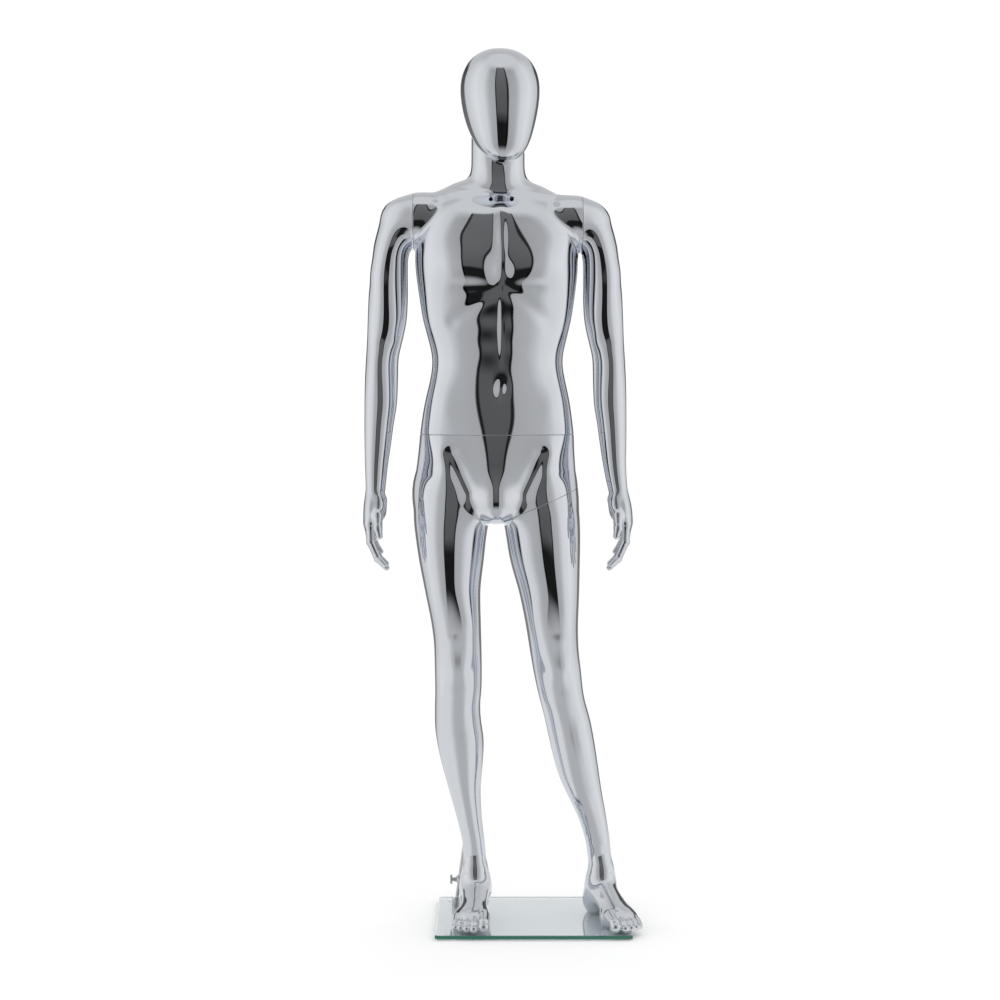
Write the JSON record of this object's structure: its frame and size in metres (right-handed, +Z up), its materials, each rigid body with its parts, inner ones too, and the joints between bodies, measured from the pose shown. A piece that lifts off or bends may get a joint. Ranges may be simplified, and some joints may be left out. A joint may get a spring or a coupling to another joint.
{
  "type": "full body mannequin",
  "caption": "Standing full body display mannequin with an egg head, mirror plated hollow shells split at neck, shoulders, waist and thigh, and a flat glass base with a calf rod.",
  "frame": {"origin": "on the floor, under the middle of the object's box", "axes": "+Z up, the figure faces -Y, its left side is at +X"},
  "size_m": [0.5985, 0.35, 1.882],
  "materials": {
    "mirror_shell": "electroplated mirror chrome on moulded plastic",
    "fitting_steel": "dull nickel plated steel",
    "fitting_plate": "moulded black nylon",
    "base_glass": "clear float glass with green polished edges",
    "soft_pad": "translucent soft pads"
  },
  "bodies": {
    "base": {"glass_base": "base_glass", "bumper_1": "soft_pad", "bumper_2": "soft_pad", "bumper_3": "soft_pad", "bumper_4": "soft_pad", "base_collar": "fitting_steel", "collar_washer": "soft_pad", "base_bolt": "fitting_steel", "support_rod": "fitting_steel", "rod_clamp": "fitting_steel", "calf_socket": "fitting_steel", "lower_body": "mirror_shell", "left_leg": "mirror_shell", "waist_lower_plate": "fitting_plate", "hip_plate": "fitting_plate", "leg_plate": "fitting_plate", "leg_stud": "fitting_steel", "leg_stud_nut": "fitting_steel"},
    "upper_body": {"torso": "mirror_shell", "waist_upper_plate": "fitting_plate", "waist_stud": "fitting_steel", "waist_stud_nut": "fitting_steel", "right_shoulder_plate": "fitting_steel", "left_shoulder_plate": "fitting_steel", "neck_pin": "fitting_steel", "neck_pin_nut": "fitting_steel"},
    "head": {"head": "mirror_shell", "head_socket_plate": "fitting_plate"},
    "right_arm": {"right_arm": "mirror_shell", "right_arm_plate": "fitting_steel", "right_arm_stud": "fitting_steel", "right_arm_stud_nut": "fitting_steel"},
    "left_arm": {"left_arm": "mirror_shell", "left_arm_plate": "fitting_steel", "left_arm_stud": "fitting_steel", "left_arm_stud_nut": "fitting_steel"},
    "wing_screw": {"wing_screw": "fitting_steel"}
  },
  "joints": [
    {"name": "waist_turn", "type": "hinge", "parent": "base", "child": "upper_body", "pos_m": [-0.0043, -0.008, 1.0595], "axis": [0, 0, 1], "range_deg": [-30, 30]},
    {"name": "head_turn", "type": "hinge", "parent": "upper_body", "child": "head", "pos_m": [-0.0043, 0.008, 1.738], "axis": [0, 0, 1], "range_deg": [-70, 70]},
    {"name": "right_arm_turn", "type": "hinge", "parent": "upper_body", "child": "right_arm", "pos_m": [-0.1843, -0.001, 1.512], "axis": [-1, 0, 0], "range_deg": [-60, 150]},
    {"name": "left_arm_turn", "type": "hinge", "parent": "upper_body", "child": "left_arm", "pos_m": [0.1757, -0.001, 1.512], "axis": [-1, 0, 0], "range_deg": [-60, 150]},
    {"name": "wing_screw_turn", "type": "hinge", "parent": "base", "child": "wing_screw", "pos_m": [-0.0895, 0.0787, 0.073], "axis": [-1, 0, 0], "continuous": true}
  ]
}
